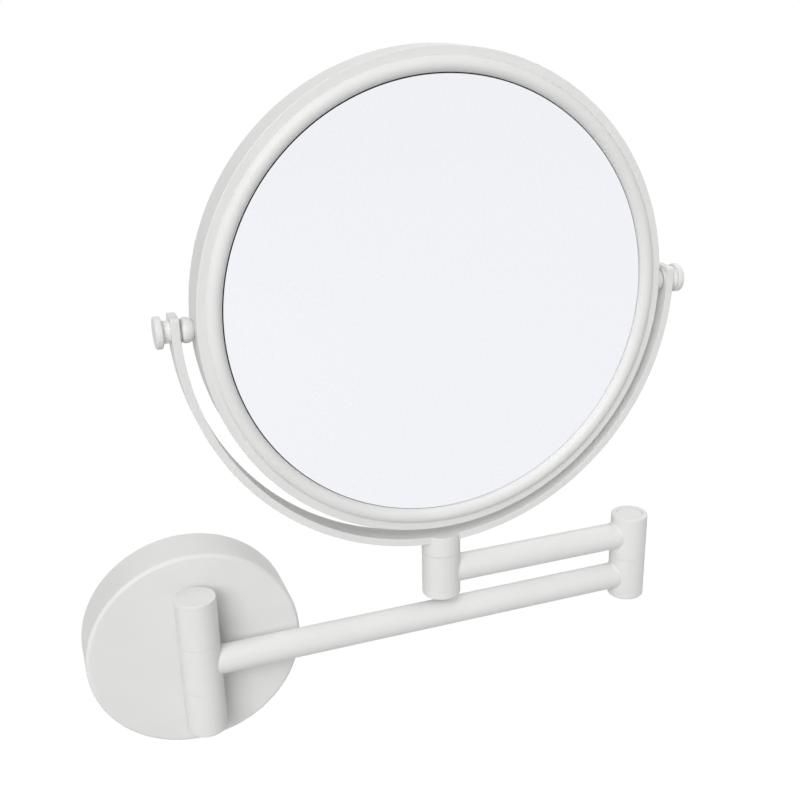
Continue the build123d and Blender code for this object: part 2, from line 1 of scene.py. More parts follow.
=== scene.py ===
"""Looks of an extendable shaving mirror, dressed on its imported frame.

The object is a round two-sided mirror in a fork, carried by a folding arm of two tubes on a
wall rosette. All metal that shows is white satin powder coat. Every new piece takes its place
from the frame's nodes, in metres, with +Z up and the mirror facing -Y at rest.
"""

import json
import logging
import math
from dataclasses import dataclass
from enum import Enum
from typing import Any, Iterable, Sequence

import bpy
import numpy as np
from mathutils import Matrix, Vector


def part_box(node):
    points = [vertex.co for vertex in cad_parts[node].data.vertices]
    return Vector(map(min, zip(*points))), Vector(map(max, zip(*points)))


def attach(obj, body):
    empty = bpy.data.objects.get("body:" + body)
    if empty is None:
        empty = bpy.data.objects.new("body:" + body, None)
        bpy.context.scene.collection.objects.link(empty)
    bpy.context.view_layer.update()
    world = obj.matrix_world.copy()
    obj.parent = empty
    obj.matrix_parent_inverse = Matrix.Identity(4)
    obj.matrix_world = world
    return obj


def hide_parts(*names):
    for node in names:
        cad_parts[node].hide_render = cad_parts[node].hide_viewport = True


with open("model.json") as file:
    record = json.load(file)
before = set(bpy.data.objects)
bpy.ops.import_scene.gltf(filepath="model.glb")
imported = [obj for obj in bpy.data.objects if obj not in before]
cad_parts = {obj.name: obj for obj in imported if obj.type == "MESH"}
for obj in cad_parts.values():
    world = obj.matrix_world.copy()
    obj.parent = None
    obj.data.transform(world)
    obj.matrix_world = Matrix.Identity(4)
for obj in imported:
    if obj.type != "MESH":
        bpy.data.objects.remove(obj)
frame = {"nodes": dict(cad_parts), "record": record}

MM = 0.001
ROUND = 192                      # steps round a large ring
BARREL = 96                      # steps round a knuckle or tube
BARREL_RADIUS = 9.1              # every knuckle, mm
TUBE_RADIUS = 6.6                # both arm tubes, mm
BORE_RADIUS = 3.5                # a knuckle that the pin is screwed into, mm
TURNING_BORE = 3.55              # a knuckle that turns on its pin, mm
WASHER_SEAT = 7.3                # radius of the seat that a washer lies in, mm
CAP_SEAT, CAP_DEPTH = 6.55, 2.0  # radius and depth of the seat of a sunk cap, mm
AXIS_Y = -34.0                   # plane of the three upright axes, mm from the wall
SHARP = math.radians(40)         # an edge with more than this between its faces stays sharp
KNOB = 64                        # steps round a knob or collar
NOISE_LOW, NOISE_HIGH = 0.35, 0.65   # where nearly all values of the noise lie
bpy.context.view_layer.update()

logging.basicConfig(level=logging.INFO, format="%(name)s: %(message)s")
log = logging.getLogger("shaving_mirror")

# A length, a half angle, a sine and a step along an outline below these count as nothing.
NO_LENGTH, NO_CORNER, NO_TURN, NO_STEP = 1e-12, 1e-3, 1e-9, 1e-7

Array = np.ndarray
Tree = bpy.types.NodeTree
Node = bpy.types.Node
Grain = tuple[float, float]      # grain of a noise in millimetres, and its detail


class Way(Enum):
    """A direction along one of the frame's axes, and the two directions that span its face."""

    RIGHT = ((1, 0, 0), (0, 1, 0), (0, 0, 1))
    LEFT = ((-1, 0, 0), (0, 0, 1), (0, 1, 0))
    OUT = ((0, -1, 0), (1, 0, 0), (0, 0, 1))
    BACK = ((0, 1, 0), (0, 0, 1), (1, 0, 0))
    UP = ((0, 0, 1), (1, 0, 0), (0, 1, 0))


class Slot(Enum):
    """Material slots of the record."""

    PAINT = "white_paint"
    STEEL = "zinc_plated_steel"
    NYLON = "nylon"
    GLASS = "mirror_glass"
    FOAM = "foam"
    ABS = "black_plastic"


# --- outlines and surfaces ---


def angles(steps: int) -> Array:
    """Even steps once round a circle, in radians, from zero."""
    return np.arange(steps) * 2 * math.pi / steps


ACROSS, UPWARD = np.sin(angles(BARREL)), np.cos(angles(BARREL))   # round a tube, from its top


def unit(vectors: Array) -> Array:
    """Each vector divided by its length, and left alone where the length is zero."""
    length = np.linalg.norm(vectors, axis=-1, keepdims=True)
    return vectors / np.where(length < NO_LENGTH, 1.0, length)


def rounded(corners: Sequence[Sequence[float]], radii: Sequence[float] | float,
            steps: int = 7, closed: bool = True, hold: float = 0.12) -> Array:
    """A polygon with its corners rounded to arcs.

    Each corner becomes the circle of its radius that touches both sides: the centre lies on
    the bisector at radius / sin(half angle), and the arc is a spherical blend of the two
    spokes to the touching points. A point a little past each end of the arc holds the flats.

    Args:
        corners: the polygon's points, (n, 2).
        radii: one radius per corner, or one for all.
        steps: points on each arc.
        closed: whether the last point joins the first.
        hold: how far past an arc the flat is held, in the same unit.

    Returns:
        The outline's points, (m, 2), with doubles left out.
    """
    c = np.asarray(corners, float)
    r = np.broadcast_to(np.asarray(radii, float), (len(c),)).copy()
    if not closed:
        r[[0, -1]] = 0.0
    before, after = unit(np.roll(c, 1, 0) - c), unit(np.roll(c, -1, 0) - c)
    half = np.arccos(np.clip((before * after).sum(1), -1, 1)) / 2
    half = np.where(half < NO_CORNER, math.pi / 2, half)
    reach = (r / np.tan(half))[:, None]
    start, end = c + before * reach, c + after * reach
    centre = c + unit(before + after) * (r / np.sin(half))[:, None]
    turn = np.where(r > 0, math.pi - 2 * half, 1.0)[:, None]
    t = np.linspace(0, 1, steps)[None, :]
    safe = np.where(np.abs(np.sin(turn)) < NO_TURN, 1.0, np.sin(turn))
    w0, w1 = np.sin((1 - t) * turn) / safe, np.sin(t * turn) / safe
    arc = (centre[:, None] + w0[..., None] * (start - centre)[:, None]
           + w1[..., None] * (end - centre)[:, None])
    arc = np.where((r > 0)[:, None, None], arc, c[:, None])
    pad = np.where(r > 0, hold, 0.0)[:, None]
    rows = np.concatenate([(start + before * pad)[:, None], arc, (end + after * pad)[:, None]], 1)
    points = rows.reshape(-1, 2)
    keep = np.linalg.norm(points - np.roll(points, 1, 0), axis=1) > NO_STEP
    keep[0] |= not closed
    return points[keep]


def arc_through(a: Sequence[float], b: Sequence[float], c: Sequence[float], steps: int) -> Array:
    """Points on the circle through three points, from the first to the last.

    The centre is where the bisectors of the two chords meet; the angle runs evenly from a to
    c on the side where b lies.

    Args:
        a, b, c: start, a point between, and end, in the plane.
        steps: how many points.

    Returns:
        The points, (steps, 2).
    """
    p, q, s = (np.asarray(v, float) for v in (a, b, c))
    chords = np.array([q - p, s - p])
    centre = np.linalg.solve(2 * chords, [q @ q - p @ p, s @ s - p @ p])
    radius = np.linalg.norm(p - centre)
    angle = [math.atan2(*(v - centre)[::-1]) for v in (p, q, s)]
    way = np.sign(np.linalg.det(chords))
    sweep = (way * (angle[2] - angle[0])) % (2 * math.pi)
    t = angle[0] + way * np.linspace(0, sweep, steps)
    return centre + radius * np.stack([np.cos(t), np.sin(t)], 1)


@dataclass
class Skin:
    """A closed surface worked out on a grid whose last column joins the first.

    Args:
        points: the grid, (rows, columns, 3), in metres.
        ring: whether the last row joins the first. Otherwise each of them is one point.
    """

    points: Array
    ring: bool = False

    def faces(self) -> Array:
        """Quads of the grid as point numbers, with a repeated number where a side is a pole."""
        index = np.arange(self.points[..., 0].size).reshape(self.points.shape[:2])
        if self.ring:
            here, down = index, np.roll(index, -1, 0)
        else:
            index[0], index[-1] = index[0, 0], index[-1, 0]
            here, down = index[:-1], index[1:]
        quads = [here, np.roll(here, -1, 1), np.roll(down, -1, 1), down]
        return np.stack(quads, -1).reshape(-1, 4)

    def outward(self) -> tuple[Array, Array]:
        """Points and quads, turned so that the closed surface holds a positive volume.

        The volume is a sixth of the sum of the triple products of every triangle's corners.
        """
        flat, quads = self.points.reshape(-1, 3), self.faces()
        corner = flat[quads] - flat.mean(0)
        first = np.einsum("ij,ij->i", corner[:, 0], np.cross(corner[:, 1], corner[:, 2]))
        second = np.einsum("ij,ij->i", corner[:, 0], np.cross(corner[:, 2], corner[:, 3]))
        return flat, quads if (first + second).sum() > 0 else quads[:, ::-1]


def turned(outline: Array, origin: Array, way: Way, steps: int = BARREL,
           ring: bool = False) -> Skin:
    """A surface of revolution.

    Point (i, j) is origin + axis * distance_i + radius_i * (cos a_j * u + sin a_j * v).

    Args:
        outline: (radius, distance) in millimetres. It is closed for a ring, and starts and
            ends on the axis otherwise.
        origin: a point on the axis, in metres.
        way: the direction in which distance is counted.
        steps: points round the axis.
        ring: whether the outline is closed.

    Returns:
        The surface.
    """
    angle, (axis, u, v) = angles(steps)[:, None], np.array(way.value, float)
    spoke = np.cos(angle) * u + np.sin(angle) * v
    radius, distance = outline[:, 0] * MM, outline[:, 1] * MM
    points = origin + distance[:, None, None] * axis + radius[:, None, None] * spoke
    return Skin(points, ring)


def mesh_of(name: str, skins: Iterable[Skin]) -> bpy.types.Object:
    """One smooth object from closed surfaces, with triangles where a surface ends in a pole.

    Args:
        name: the piece's name.
        skins: its surfaces.

    Returns:
        The object, at the origin, linked to the scene.
    """
    points, quads, offset = [], [], 0
    for skin in skins:
        p, q = skin.outward()
        points.append(p)
        quads.append(q + offset)
        offset += len(p)
    corners, faces = np.concatenate(points), np.concatenate(quads)
    used, faces = np.unique(faces, return_inverse=True)
    faces = faces.reshape(-1, 4)
    double = faces == np.roll(faces, -1, 1)
    triangle = double.any(1)
    whole = faces[~triangle]
    three = np.take_along_axis(
        faces[triangle],
        (double[triangle].argmax(1)[:, None] + np.array([1, 2, 3])) % 4, 1)
    mesh = bpy.data.meshes.new(name)
    mesh.from_pydata(corners[used].tolist(), [], whole.tolist() + three.tolist())
    mesh.shade_smooth()
    mesh.set_sharp_from_angle(angle=SHARP)
    return linked(name, mesh)


def linked(name: str, data: bpy.types.ID) -> bpy.types.Object:
    """A new object with this data, in the scene."""
    obj = bpy.data.objects.new(name, data)
    bpy.context.scene.collection.objects.link(obj)
    return obj


def on_axis(x: float) -> Array:
    """A point, in metres, on the upright axis at this place along the arm."""
    return np.array([x, AXIS_Y, 0.0]) * MM


def box_mm(node: str) -> tuple[Array, Array]:
    """A node's lowest and highest corner, in millimetres."""
    low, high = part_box(node)
    return np.array(low) / MM, np.array(high) / MM


def middle(node: str) -> Array:
    """The middle of a node's box, in millimetres."""
    low, high = box_mm(node)
    return (low + high) / 2


def half_size(node: str) -> Array:
    """Half a node's size along X, Y and Z, in millimetres."""
    low, high = box_mm(node)
    return (high - low) / 2


# --- finishes ---


def linear(colour: str) -> tuple[float, float, float, float]:
    """Scene-linear red, green, blue and alpha of an sRGB hex colour such as "#E4E4E2"."""
    srgb = np.array([int(colour[i:i + 2], 16) for i in (1, 3, 5)]) / 255
    value = np.where(srgb <= 0.04045, srgb / 12.92, ((srgb + 0.055) / 1.055) ** 2.4)
    return (*value.tolist(), 1.0)


WHITE = linear("#FFFFFF")


def bare_tree(owner: bpy.types.Material | bpy.types.World) -> Tree:
    """The node tree of a material or world, emptied."""
    owner.use_nodes = True
    owner.node_tree.nodes.clear()
    return owner.node_tree


def add(tree: Tree, kind: str, inputs: dict[str | int, Any] | None = None,
        **settings: Any) -> Node:
    """Adds a node, sets its settings, and sets or links its inputs.

    Args:
        tree: the node tree.
        kind: the node's type, without "ShaderNode" in front.
        inputs: input name or number to a value, or to the output, or the node by its first
            output, that feeds it.
        settings: attributes of the node.

    Returns:
        The node.
    """
    node = tree.nodes.new("ShaderNode" + kind)
    for key, value in settings.items():
        setattr(node, key, value)
    for key, value in (inputs or {}).items():
        if isinstance(value, Node):
            value = value.outputs[0]
        if isinstance(value, bpy.types.NodeSocket):
            tree.links.new(value, node.inputs[key])
        else:
            node.inputs[key].default_value = value
    return node


def speckle(tree: Tree, grain_mm: float, detail: float) -> Node:
    """Noise on Object coordinates whose grain has a real size in millimetres."""
    where = add(tree, "TexCoord").outputs["Object"]
    return add(tree, "TexNoise", {"Vector": where, "Scale": 1.0 / (grain_mm * MM),
                                  "Detail": detail})


def spread(tree: Tree, value: Node, low: float, high: float) -> Node:
    """Noise stretched from where nearly all of it lies over a range of values."""
    return add(tree, "MapRange", {"Value": value, "From Min": NOISE_LOW, "From Max": NOISE_HIGH,
                                  "To Min": low, "To Max": high})


@dataclass(frozen=True)
class Finish:
    """A finish of one of the record's slots. Every piece that has it shares its material.

    Args:
        name, slot: its name and slot.
        colour, second: the sRGB hex colours between which it wanders.
        roughness, gloss_by: its roughness, and how far that strays either way.
        clouds, gloss, relief: grain in millimetres and detail of the noise in its colour, its
            gloss and its bump. The last two are as the first where left out.
        depth_mm: height of the bump.
        metallic: 1 for silver and plating, else 0.
        specular: strength of the shine of the others.
    """

    name: str
    slot: Slot
    colour: str
    second: str
    roughness: float = 0.5
    gloss_by: float = 0.0
    clouds: Grain = (0.6, 3.0)
    gloss: Grain | None = None
    relief: Grain | None = None
    depth_mm: float = 0.01
    metallic: float = 0.0
    specular: float = 0.5

    def material(self) -> bpy.types.Material:
        """The material: a principled shader with noise in its colour, gloss and bump."""
        ready = bpy.data.materials.get(self.name)
        if ready:
            return ready
        made = bpy.data.materials.new(self.name)
        tree = bare_tree(made)
        rough = self.roughness
        if self.gloss_by:
            rough = spread(tree, speckle(tree, *(self.gloss or self.clouds)),
                           rough - self.gloss_by, rough + self.gloss_by)
        cloud = spread(tree, speckle(tree, *self.clouds), 0.0, 1.0)
        colour = add(tree, "Mix", {"Factor": cloud, 6: linear(self.colour),
                                   7: linear(self.second)}, data_type="RGBA")
        bump = add(tree, "Bump", {"Height": speckle(tree, *(self.relief or self.clouds)),
                                  "Distance": self.depth_mm * MM})
        shader = add(tree, "BsdfPrincipled", {
            "Base Color": colour.outputs[2], "Metallic": self.metallic, "Roughness": rough,
            "Specular IOR Level": self.specular, "Normal": bump})
        add(tree, "OutputMaterial", {"Surface": shader})
        return made


@dataclass(frozen=True)
class PowderCoat(Finish):
    """White satin powder coat on steel and zinc castings.

    Sprayed as polyester powder and baked, it flows out to a smooth even film with a slight
    orange peel of 2 to 3 mm, a soft broad shine, and faint clouds in its whiteness.
    """

    colour: str = "#E9E9E7"
    second: str = "#E6E6E5"
    roughness: float = 0.40
    gloss_by: float = 0.02
    clouds: Grain = (38.0, 2.0)
    gloss: Grain = (11.0, 2.0)
    relief: Grain = (2.6, 1.0)
    depth_mm: float = 0.006
    specular: float = 0.2


@dataclass(frozen=True)
class SilveredGlass(Finish):
    """Silvered float glass, 3 mm, seen from its polished face.

    The silver returns nearly all light, and the iron in the glass leaves it a little cool.
    The relief is the least waviness that float glass has.
    """

    colour: str = "#F0F1F5"
    second: str = "#EEEFF4"
    roughness: float = 0.015
    clouds: Grain = (1.5, 2.0)
    relief: Grain = (60.0, 2.0)
    depth_mm: float = 0.002
    metallic: float = 1.0


@dataclass(frozen=True)
class GlassRimPaintedShade(Finish):
    """The ground rim of the mirror glass, where the silver ends, dark with painted shade.

    The wheel leaves it matt with a fine grain. Its near-black colour is painted shade that stands
    in for the shade along the glass's edge.
    """

    colour: str = "#2A2E2D"
    second: str = "#343837"
    clouds: Grain = (0.5, 2.0)
    depth_mm: float = 0.005


@dataclass(frozen=True)
class ZincPlate(Finish):
    """Bright zinc plating on turned or stamped steel: grey, a little blue, with a spangle."""

    colour: str = "#B9BCC0"
    second: str = "#A3A6AA"
    roughness: float = 0.38
    gloss_by: float = 0.08
    clouds: Grain = (3.0, 4.0)
    gloss: Grain = (1.2, 2.0)
    relief: Grain = (0.8, 2.0)
    depth_mm: float = 0.004
    metallic: float = 1.0


@dataclass(frozen=True)
class Moulding(Finish):
    """Moulded or foamed plastic: an even matt colour with a fine mould grain."""

    colour: str = "#D9D8D1"
    second: str = "#CFCEC7"
    gloss_by: float = 0.05


PAINT = PowderCoat("white satin powder coat", Slot.PAINT)
SILVER = SilveredGlass("silvered float glass", Slot.GLASS)
# painted shade: the glass's dark ground rim stands in for the shade along the glass's edge
RIM_PAINTED_SHADE = GlassRimPaintedShade("glass rim painted shade", Slot.GLASS)
ZINC = ZincPlate("zinc-plated steel", Slot.STEEL)
NYLON = Moulding("natural nylon", Slot.NYLON)
FOAM = Moulding("grey EVA foam", Slot.FOAM, "#4C4C4E", "#434345", roughness=0.8,
                clouds=(0.9, 3.0), depth_mm=0.05)
ABS = Moulding("black ABS", Slot.ABS, "#202021", "#262627", roughness=0.45, clouds=(0.5, 3.0))
FINISH_OF = {finish.slot.value: finish for finish in (PAINT, ZINC, NYLON, SILVER, FOAM, ABS)}


def place(name: str, body: str, node: str, *skins: Skin, finish: Finish = PAINT) -> None:
    """Makes a piece, dresses it, and puts it on its body in place of a node of the frame.

    Args:
        name, body: the piece's name, and the body that carries it.
        node: the node that it replaces.
        skins, finish: its surfaces, and its finish.
    """
    obj = mesh_of(name, skins)
    obj.data.materials.append(finish.material())
    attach(obj, body)
    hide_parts(node)
    log.info("%s: %d faces on %s", name, len(obj.data.polygons), body)


def dress_frame() -> None:
    """Gives every node of the frame the finish of its slot in the record."""
    for part in frame["record"]["subparts"]:
        mesh = frame["nodes"][part["node"]].data
        mesh.materials.clear()
        mesh.materials.append(FINISH_OF[part["material_slot"]].material())
        log.info("%s wears %s", part["node"], mesh.materials[0].name)


# --- sub-assemblies ---


@dataclass
class Rosette:
    """The cup on the wall. Sizes in millimetres.

    Args:
        wall: thickness of the cup.
        edge, rim: rounding of the front edge, and of the rim on the wall.
    """

    wall: float = 2.2
    edge: float = 1.8
    rim: float = 0.4

    def build(self) -> None:
        """Turns the cup's outline about the wall's normal: inside, rim, side and face."""
        radius, depth = half_size("rosette_cover")[2], -box_mm("rosette_cover")[0][1]
        inner = radius - self.wall
        outline = rounded(
            [(0, depth - self.wall), (inner, depth - self.wall), (inner, 0), (radius, 0),
             (radius, depth), (0, depth)],
            [0, self.edge - self.wall / 2, self.rim, self.rim, self.edge, 0],
            steps=12, closed=False)
        place("rosette_cup", "wall", "rosette_cover",
              turned(outline, np.zeros(3), Way.OUT, ROUND))


@dataclass(frozen=True)
class End:
    """One end of a barrel. Sizes in millimetres.

    Two barrels run on a washer that lies in a seat in the lower one's top. The rim round it
    stands a little proud on both, so that the seam between them is a hairline.

    Args:
        edge: rounding of its outer edge.
        proud: how far the rim stands out towards the next barrel.
        seat, seat_radius, lip: depth and radius of the seat, and rounding of its edge.
        wall: thickness where the end is closed, or 0 where the bore runs out.
    """

    edge: float = 0.06
    proud: float = 0.0
    seat: float = 0.0
    seat_radius: float = WASHER_SEAT
    lip: float = 0.05
    wall: float = 0.0

    def rows(self, face: float, side: int, bore: float) -> list[Sequence[float]]:
        """Radius, height and rounding of each corner, from the outer edge inwards."""
        rim = face + side * self.proud
        if self.wall or not (self.proud or self.seat):
            return [(BARREL_RADIUS, rim, self.edge), (0.0 if self.wall else bore, rim, 0.0)]
        floor = face - side * self.seat
        return [(BARREL_RADIUS, rim, self.edge), (self.seat_radius, rim, self.lip),
                (self.seat_radius, floor, 0.0), (bore, floor, 0.0)]


PLAIN = End(edge=0.12)
UNDER = End(proud=0.09)                   # runs on the washer below
OVER = End(proud=0.09, seat=0.62)         # carries the washer in its seat


@dataclass
class Barrel:
    """A turned knuckle on a vertical axis. Sizes in millimetres.

    Args:
        node: the frame's node that it stands for.
        x: place of the axis.
        top, foot: its ends.
        bore: radius of its bore.
    """

    node: str
    x: float
    top: End = PLAIN
    foot: End = PLAIN
    bore: float = BORE_RADIUS

    def skin(self) -> Skin:
        """Turns the outline about the axis: up the outside, inwards, and down the bore."""
        low, high = box_mm(self.node)
        corners = (self.foot.rows(low[2], -1, self.bore)[::-1]
                   + self.top.rows(high[2], 1, self.bore))
        if self.top.wall:
            blind = high[2] - self.top.wall
            corners = [(0.0, blind, 0.0), (self.bore, blind, 0.0)] + corners
        if self.foot.wall:
            blind = low[2] + self.foot.wall
            corners = corners + [(self.bore, blind, 0.0), (0.0, blind, 0.0)]
        table, ring = np.array(corners), not (self.top.wall or self.foot.wall)
        return turned(rounded(table[:, :2], table[:, 2], closed=ring), on_axis(self.x), Way.UP,
                      ring=ring)


@dataclass
class TubeStub:
    """The cast stub of an elbow knuckle: a round boss that flares into the barrel.

    The flare is the surface that a ball of the fillet's radius touches as it rolls along the
    corner: its centre lies on both surfaces offset by that radius, and each section is an arc
    from the touching point on the boss to the one on the barrel.

    Args:
        x, z: the barrel's axis and the tube's height, in millimetres.
        side: +1 or -1 along X.
        fillet, fillet_rows: the ball's radius, and how many rows the flare has.
        length: boss length past the barrel.
        land: how far behind the boss's end its first row lies.
        plug, plug_depth, plug_bevel: radius, reach and tip of the spigot inside the tube.
        tuck, root: shares to which it draws in under the barrel's skin, and then closes.
    """

    x: float
    z: float
    side: float
    fillet: float = 1.2
    fillet_rows: int = 9
    length: float = 5.0
    land: float = 0.2
    plug: float = 5.1
    plug_depth: float = 9.0
    plug_bevel: float = 0.4
    tuck: float = 0.96
    root: float = 0.7

    def skin(self) -> Skin:
        """Rows from the spigot's tip, over the boss and the flare, to a point in the barrel."""
        end = BARREL_RADIUS + self.length
        rows = [self.ring(r, d) for r, d in (
            (0.0, end + self.plug_depth), (self.plug - self.plug_bevel, end + self.plug_depth),
            (self.plug, end + self.plug_depth - self.plug_bevel), (self.plug, end),
            (TUBE_RADIUS, end), (TUBE_RADIUS, end - self.land))]
        big, small = BARREL_RADIUS + self.fillet, TUBE_RADIUS + self.fillet
        cy, cz = small * ACROSS, small * UPWARD
        centre = np.stack([np.sqrt(big ** 2 - cy ** 2), cy, cz], -1)
        to_boss = np.stack([np.zeros(BARREL), -ACROSS, -UPWARD], -1)
        to_barrel = np.stack([-centre[:, 0], -cy, np.zeros(BARREL)], -1) / big
        angle = np.arccos(np.clip((to_boss * to_barrel).sum(-1), -1, 1))[:, None]
        for t in np.linspace(0, 1, self.fillet_rows):
            spoke = np.sin((1 - t) * angle) * to_boss + np.sin(t * angle) * to_barrel
            rows.append(centre + self.fillet * spoke / np.sin(angle))
        rows.append(rows[-1] * np.array([self.tuck, self.tuck, 1.0]))
        rows.append(self.ring(0.0, BARREL_RADIUS * self.root))
        grid = np.stack(rows) * np.array([self.side, 1, 1])
        return Skin((grid + np.array([self.x, AXIS_Y, self.z])) * MM)

    @staticmethod
    def ring(radius: float, distance: float) -> Array:
        """One circle about the tube's axis."""
        return np.stack([np.full(BARREL, distance), radius * ACROSS, radius * UPWARD], -1)


@dataclass
class ArmTube:
    """An arm tube that butts on a stub at one end and is saddled to a barrel at the other.

    Row i of the outside lies at x(i, a) = saddle(a) + (end - saddle(a)) * share(i), where the
    saddle is sqrt(barrel^2 - (radius * sin a)^2); the inside runs back the same way.

    Args:
        saddle_x: axis of the barrel that the tube is saddled to, in millimetres.
        end_x: where it butts on the stub.
        z: height of its axis.
        wall: thickness of the tube.
        sink: how far the saddle lies inside the barrel, so that no gap shows.
        shares: places of the rows along it, with one close to each end to hold it straight.
    """

    saddle_x: float
    end_x: float
    z: float
    wall: float = 1.5
    sink: float = 0.05
    shares: tuple[float, ...] = (0, 0.004, 0.25, 0.5, 0.75, 0.996, 1.0)

    def skin(self) -> Skin:
        """Outside from saddle to butt end, and inside back again, as one closed surface."""
        share, rows = np.array(self.shares), []
        for radius, order in ((TUBE_RADIUS, share), (TUBE_RADIUS - self.wall, share[::-1])):
            saddle = np.sqrt(BARREL_RADIUS ** 2 - (radius * ACROSS) ** 2)
            start = self.saddle_x + saddle - self.sink
            x = start + (self.end_x - start) * order[:, None]
            y, z = radius * ACROSS + AXIS_Y, radius * UPWARD + self.z
            rows.append(np.stack(np.broadcast_arrays(x, y, z), -1))
        return Skin(np.concatenate(rows) * MM, ring=True)


@dataclass
class Column:
    """The short column in front of the rosette: its two fixed knuckles. Millimetres.

    Args:
        top_bevel, foot_round: rounding of its upper and its lower edge.
        thread: depth of the pin's blind hole in the upper knuckle.
    """

    top_bevel: float = 0.6
    foot_round: float = 1.4
    thread: float = 14.0

    def build(self) -> None:
        """Turns the knuckles, and leaves the posts, pin, cap and washers to the frame."""
        low, high = box_mm("column_knuckle_upper")
        upper = Barrel("column_knuckle_upper", 0.0, foot=UNDER,
                       top=End(self.top_bevel, wall=high[2] - low[2] - self.thread))
        place("column_top_barrel", "wall", upper.node, upper.skin())
        lower = Barrel("column_knuckle_lower", 0.0, top=OVER,
                       foot=End(self.foot_round, seat=CAP_DEPTH, seat_radius=CAP_SEAT))
        place("column_foot_barrel", "wall", lower.node, lower.skin())


@dataclass
class LowerArm:
    """From the column's turning knuckle along the long tube to the elbow's lower knuckle.

    Args:
        web: metal under the blind hole in the elbow's knuckle, in millimetres.
    """

    web: float = 5.0

    def build(self) -> None:
        """Builds knuckle, tube, elbow knuckle and elbow cap."""
        elbow_x, body = middle("elbow_pin")[0], "lower_arm"
        turning = Barrel("lower_arm_knuckle", 0.0, top=OVER, foot=UNDER, bore=TURNING_BORE)
        place("column_turning_barrel", body, turning.node, turning.skin())
        butt = box_mm("lower_arm_tube")[1][0]
        place("long_arm_tube", body, "lower_arm_tube", ArmTube(0.0, butt, 0.0).skin())
        base = Barrel("elbow_knuckle_lower", elbow_x, top=OVER,
                      foot=End(PLAIN.edge, wall=self.web))
        place("elbow_base_barrel", body, base.node, base.skin(),
              TubeStub(elbow_x, 0.0, -1).skin())
        place("elbow_foot_plug", body, "elbow_foot_cap", end_cap("elbow_foot_cap", elbow_x))


def end_cap(node: str, x: float, bevel: float = 1.0, upper_edge: float = 0.15,
            spigot: float = 6.3, spigot_depth: float = 2.0) -> Skin:
    """The full-width cap under a column, with its spigot. Sizes in millimetres.

    Args:
        node: the frame's node.
        x: place of its axis.
        bevel, upper_edge: rounding of its lower and its upper edge.
        spigot, spigot_depth: the spigot's radius and height.

    Returns:
        The cap's surface, turned about its axis.
    """
    low, high = box_mm(node)
    z0, z1 = low[2], high[2] - spigot_depth
    outline = rounded([(0, z0), (BARREL_RADIUS, z0), (BARREL_RADIUS, z1), (spigot, z1),
                       (spigot, high[2]), (0, high[2])],
                      [0, bevel, upper_edge, 0, 0, 0], closed=False)
    return turned(outline, on_axis(x), Way.UP)


@dataclass
class UpperArm:
    """From the elbow's upper knuckle back along the short tube to the mirror's knuckle.

    Args:
        bevel: rounding of the elbow's upper edge, in millimetres.
        cap, cap_edge: radius of the sunk cap and rounding of its edge.
    """

    bevel: float = 0.9
    cap: float = 6.5
    cap_edge: float = 0.2

    def build(self) -> None:
        """Builds elbow knuckle, sunk cap, tube, end knuckle and end cap."""
        elbow_x, mirror_x = middle("elbow_pin")[0], middle("swivel_pin")[0]
        body, height = "upper_arm", middle("upper_arm_tube")[2]
        barrel = Barrel("elbow_knuckle_upper", elbow_x, foot=UNDER, bore=TURNING_BORE,
                        top=End(self.bevel, seat=CAP_DEPTH, seat_radius=CAP_SEAT))
        place("elbow_top_barrel", body, barrel.node, barrel.skin(),
              TubeStub(elbow_x, height, -1).skin())
        low, high = box_mm("elbow_top_cap")
        disc = rounded([(0, low[2]), (self.cap, low[2]), (self.cap, high[2]), (0, high[2])],
                       [0, 0, self.cap_edge, 0], closed=False)
        place("elbow_cap_disc", body, "elbow_top_cap",
              turned(disc, on_axis(elbow_x), Way.UP))
        butt = box_mm("upper_arm_tube")[1][0]
        place("short_arm_tube", body, "upper_arm_tube",
              ArmTube(mirror_x, butt, height).skin())
        knuckle = Barrel("mirror_knuckle", mirror_x, top=OVER, bore=TURNING_BORE)
        place("arm_end_barrel", body, knuckle.node, knuckle.skin())
        foot = "mirror_knuckle_foot_cap"
        place("arm_end_plug", body, foot, end_cap(foot, mirror_x))


